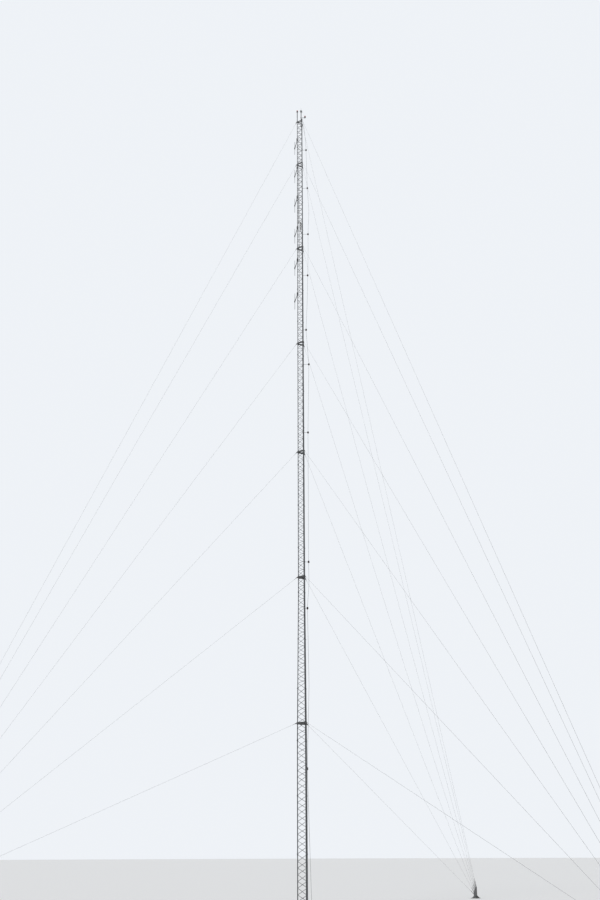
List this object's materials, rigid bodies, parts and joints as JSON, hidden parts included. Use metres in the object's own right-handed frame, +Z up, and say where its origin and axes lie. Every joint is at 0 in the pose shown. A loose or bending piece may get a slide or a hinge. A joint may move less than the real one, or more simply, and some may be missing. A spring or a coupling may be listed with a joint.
{
  "type": "guyed lattice radio mast, 1:2 scale model",
  "caption": "Slender triangular lattice radio mast, half real size, with guys to three anchors, broadcast dipoles on booms, a coaxial feeder, a down conductor on stand-offs and top lamps.",
  "frame": {"origin": "underside of the base plate, at the middle of the three legs", "axes": "+Z up along the mast; -X is the side of the left leg, -Y the side that the picture was taken from"},
  "size_m": [18.3834, 21.209, 30.885],
  "materials": {
    "lattice_steel": "weathered hot-dip galvanised steel",
    "guy_rope": "stranded galvanised wire rope",
    "turnbuckle_steel": "galvanised forged steel",
    "anchor_steel": "galvanised plate with rust at the welds",
    "antenna_metal": "weathered metal tube",
    "cable_jacket": "black cable jacket",
    "divider_metal": "dull plated metal",
    "porcelain": "brown glazed porcelain",
    "conductor_wire": "weathered wire",
    "lamp_housing": "grey painted cast housing",
    "lamp_glass": "red moulded glass",
    "base_steel": "galvanised plate",
    "rod_metal": "weathered metal",
    "bracket_steel": "galvanised steel"
  },
  "bodies": {
    "root": {"base_plate": "base_steel", "mast_section_01": "lattice_steel", "mast_section_02": "lattice_steel", "mast_section_03": "lattice_steel", "mast_section_04": "lattice_steel", "mast_section_05": "lattice_steel", "mast_section_06": "lattice_steel", "mast_section_07": "lattice_steel", "mast_section_08": "lattice_steel", "mast_section_09": "lattice_steel", "mast_section_10": "lattice_steel", "mast_section_11": "lattice_steel", "mast_section_12": "lattice_steel", "mast_section_13": "lattice_steel", "mast_section_14": "lattice_steel", "mast_section_15": "lattice_steel", "mast_section_16": "lattice_steel", "mast_section_17": "lattice_steel", "mast_section_18": "lattice_steel", "mast_section_19": "lattice_steel", "mast_section_20": "lattice_steel", "guy_collars": "bracket_steel", "top_frame": "bracket_steel", "guys_left": "guy_rope", "guys_front": "guy_rope", "guys_rear": "guy_rope", "turnbuckles_left": "turnbuckle_steel", "turnbuckles_front": "turnbuckle_steel", "turnbuckles_rear": "turnbuckle_steel", "guy_anchor_left": "anchor_steel", "guy_anchor_front": "anchor_steel", "guy_anchor_rear": "anchor_steel", "dipole_antenna_1": "antenna_metal", "dipole_antenna_2": "antenna_metal", "dipole_antenna_3": "antenna_metal", "dipole_antenna_4": "antenna_metal", "dipole_antenna_5": "antenna_metal", "dipole_antenna_6": "antenna_metal", "feeder_cable": "cable_jacket", "feeder_clamps": "bracket_steel", "power_divider": "divider_metal", "branch_cables": "cable_jacket", "standoff_arms": "bracket_steel", "standoff_insulators": "porcelain", "down_conductor": "conductor_wire", "lightning_rod": "rod_metal", "lamp_left": "lamp_housing", "lamp_right": "lamp_housing", "lamp_glasses": "lamp_glass"}
  },
  "joints": []
}
